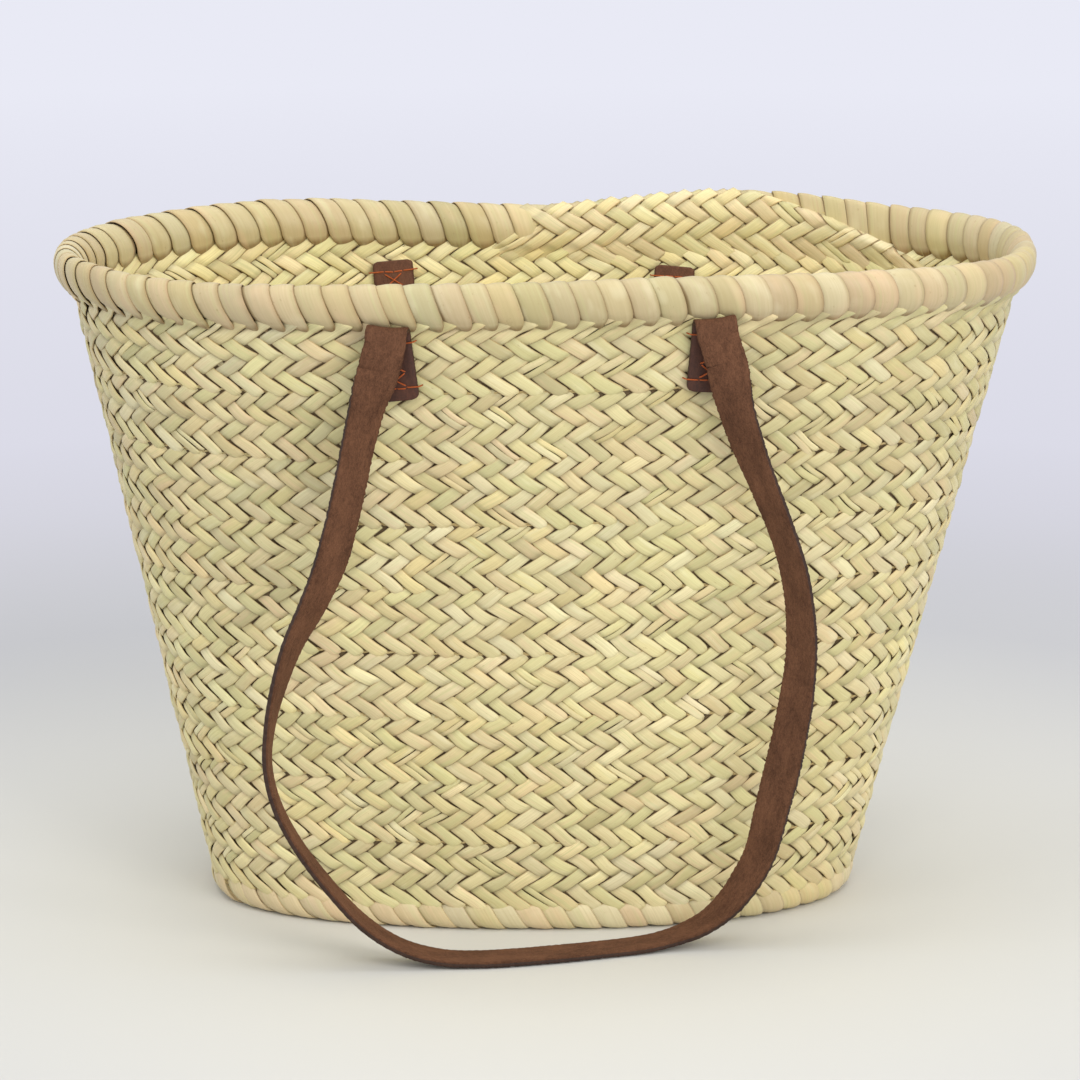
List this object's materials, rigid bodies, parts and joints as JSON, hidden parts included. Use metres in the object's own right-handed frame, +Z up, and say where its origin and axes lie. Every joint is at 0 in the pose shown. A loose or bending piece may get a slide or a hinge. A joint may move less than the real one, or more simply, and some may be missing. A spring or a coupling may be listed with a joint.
{
  "type": "woven basket",
  "caption": "Oval flared basket of plaited palm leaf with a wrapped rim and long leather shoulder straps that fold up over the mouth.",
  "frame": {"origin": "on the floor under the middle of the bottom", "axes": "+Z up, +X along the basket's length, -Y towards the front handle"},
  "size_m": [0.48, 0.3048, 0.3339],
  "materials": {
    "plaited_palm": "satin",
    "palm_cord": "matte",
    "rim_palm": "satin",
    "rim_stems": "matte",
    "strap_leather": "matte",
    "dark_leather": "satin",
    "backing_leather": "satin",
    "orange_thread": "satin"
  },
  "bodies": {
    "basket": {"back_handle_left_patch": "backing_leather", "back_handle_left_tab": "dark_leather", "back_handle_patch_stitching": "orange_thread", "back_handle_right_patch": "backing_leather", "back_handle_right_tab": "dark_leather", "back_handle_tab_stitching": "orange_thread", "base_centre_plait": "plaited_palm", "base_inner_plait": "plaited_palm", "base_lacing_1": "palm_cord", "base_lacing_2": "palm_cord", "base_lacing_3": "palm_cord", "base_outer_plait": "plaited_palm", "foot_plait": "plaited_palm", "front_handle_left_patch": "backing_leather", "front_handle_left_tab": "dark_leather", "front_handle_patch_stitching": "orange_thread", "front_handle_right_patch": "backing_leather", "front_handle_right_tab": "dark_leather", "front_handle_tab_stitching": "orange_thread", "rim_core": "rim_stems", "rim_wrap": "rim_palm", "wall_lacing_1": "palm_cord", "wall_lacing_2": "palm_cord", "wall_lacing_3": "palm_cord", "wall_lacing_4": "palm_cord", "wall_lacing_5": "palm_cord", "wall_lacing_6": "palm_cord", "wall_lacing_7": "palm_cord", "wall_lacing_8": "palm_cord", "wall_lacing_9": "palm_cord", "wall_plait_1": "plaited_palm", "wall_plait_2": "plaited_palm", "wall_plait_3": "plaited_palm", "wall_plait_4": "plaited_palm", "wall_plait_5": "plaited_palm", "wall_plait_6": "plaited_palm", "wall_plait_7": "plaited_palm", "wall_plait_8": "plaited_palm", "wall_plait_9": "plaited_palm"},
    "front_handle_roots": {"front_handle_left_root": "strap_leather", "front_handle_right_root": "strap_leather"},
    "front_handle_loop": {"front_handle_strap": "strap_leather"},
    "back_handle_roots": {"back_handle_left_root": "strap_leather", "back_handle_right_root": "strap_leather"},
    "back_handle_loop": {"back_handle_strap": "strap_leather"}
  },
  "joints": [
    {"name": "front_handle_fold", "type": "hinge", "parent": "basket", "child": "front_handle_roots", "pos_m": [0.00525, -0.12559, 0.30355], "axis": [-0.9996, -0.0048, -0.0272], "range_deg": [0, 130]},
    {"name": "front_handle_lean", "type": "hinge", "parent": "front_handle_roots", "child": "front_handle_loop", "pos_m": [0.0057, -0.12789, 0.28756], "axis": [-0.9996, -0.0048, -0.0272], "range_deg": [0, 65]},
    {"name": "back_handle_fold", "type": "hinge", "parent": "basket", "child": "back_handle_roots", "pos_m": [-0.00325, 0.12439, 0.295], "axis": [0.9998, 0.0031, -0.0203], "range_deg": [0, 130]},
    {"name": "back_handle_lean", "type": "hinge", "parent": "back_handle_roots", "child": "back_handle_loop", "pos_m": [-0.00377, 0.12668, 0.27], "axis": [0.9998, 0.0031, -0.0203], "range_deg": [0, 65]}
  ],
  "couplings": [
    {"joint": "front_handle_lean", "follows": "front_handle_fold", "ratio": 0.5},
    {"joint": "back_handle_lean", "follows": "back_handle_fold", "ratio": 0.5}
  ]
}
